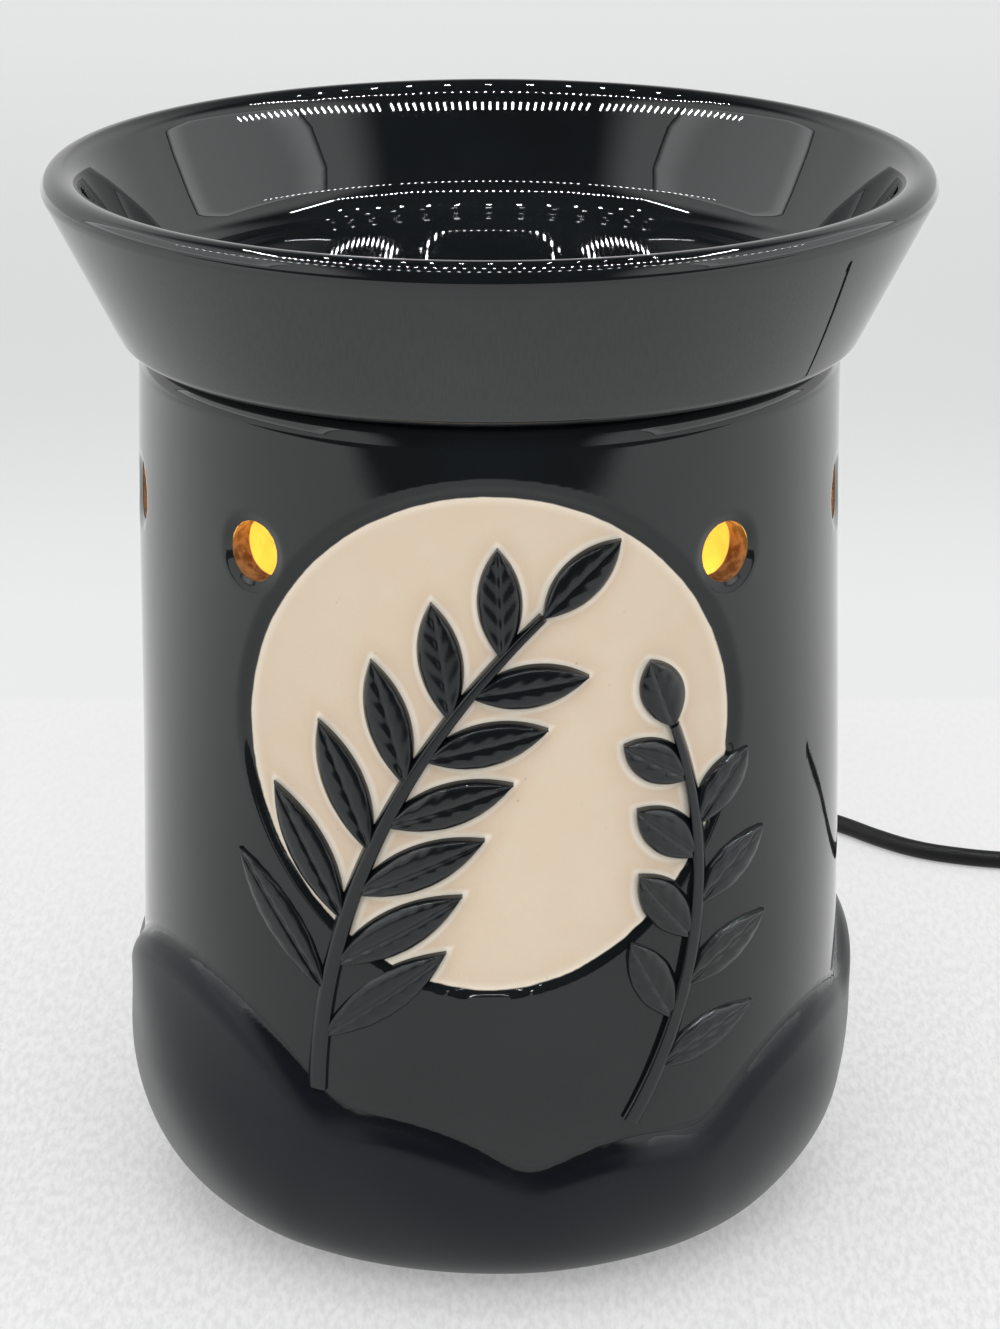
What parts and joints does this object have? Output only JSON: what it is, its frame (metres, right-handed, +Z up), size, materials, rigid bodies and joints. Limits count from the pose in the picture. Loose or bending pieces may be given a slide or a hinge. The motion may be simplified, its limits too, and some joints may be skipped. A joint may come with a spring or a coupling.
{
  "type": "electric wax warmer",
  "caption": "Ceramic wax warmer: loose flared dish on a body with a pale front medallion and a ring of light holes, lamp inside, in-line switch and coiled mains lead.",
  "frame": {"origin": "on the table under the middle of the body, at the height of the rubber feet's soles", "axes": "+Z up along the body's axis, the medallion faces -Y and the cord leaves the rear wall towards +Y"},
  "size_m": [0.264, 0.233, 0.15],
  "materials": {
    "glaze": "gloss black glaze with an unglazed cream medallion and satin relief",
    "steel": "zinc plated",
    "rubber": "matte",
    "phenolic": "satin",
    "brass": "bright",
    "wire_sleeve": "satin",
    "bulb_glass": "clear",
    "stem_glass": "clear",
    "black_glass": "gloss",
    "cap_metal": "bright",
    "bulb_wire": "bright",
    "lead": "satin",
    "switch_plastic": "satin"
  },
  "bodies": {
    "base": {"body_shell": "glaze", "base_plate": "steel", "plate_clips": "steel", "plate_screws": "steel", "rubber_feet": "rubber", "holder_housing": "phenolic", "screw_shell": "brass", "centre_contact": "brass", "terminal_screws": "brass", "holder_nipple": "steel", "lock_nut": "steel", "inner_leads": "wire_sleeve", "cord_boot": "rubber", "cord_lead": "lead", "switch_base": "switch_plastic", "switch_cover": "switch_plastic", "switch_contacts": "brass", "switch_screws": "steel", "cord_link": "lead", "cord_coil": "lead", "cord_tail": "lead", "coil_tie": "lead", "plug_body": "lead", "plug_blades": "brass"},
    "dish": {"dish": "glaze"},
    "bulb": {"bulb_glass": "bulb_glass", "bulb_cap": "cap_metal", "bulb_insulator": "black_glass", "bulb_tip": "cap_metal", "bulb_stem": "stem_glass", "bulb_supports": "bulb_wire", "bulb_filament": "bulb_wire"},
    "rocker": {"switch_rocker": "switch_plastic"}
  },
  "joints": [
    {"name": "dish_lift", "type": "slide", "parent": "base", "child": "dish", "axis": [0, 0, 1], "range_m": [0, 0.05]},
    {"name": "bulb_turn", "type": "hinge", "parent": "base", "child": "bulb", "pos_m": [0, 0, 0.03], "axis": [0, 0, 1], "continuous": true},
    {"name": "rocker_tilt", "type": "hinge", "parent": "base", "child": "rocker", "pos_m": [0.192, 0.057, 0.0112], "axis": [1, 0, 0], "range_deg": [0, 22]}
  ]
}
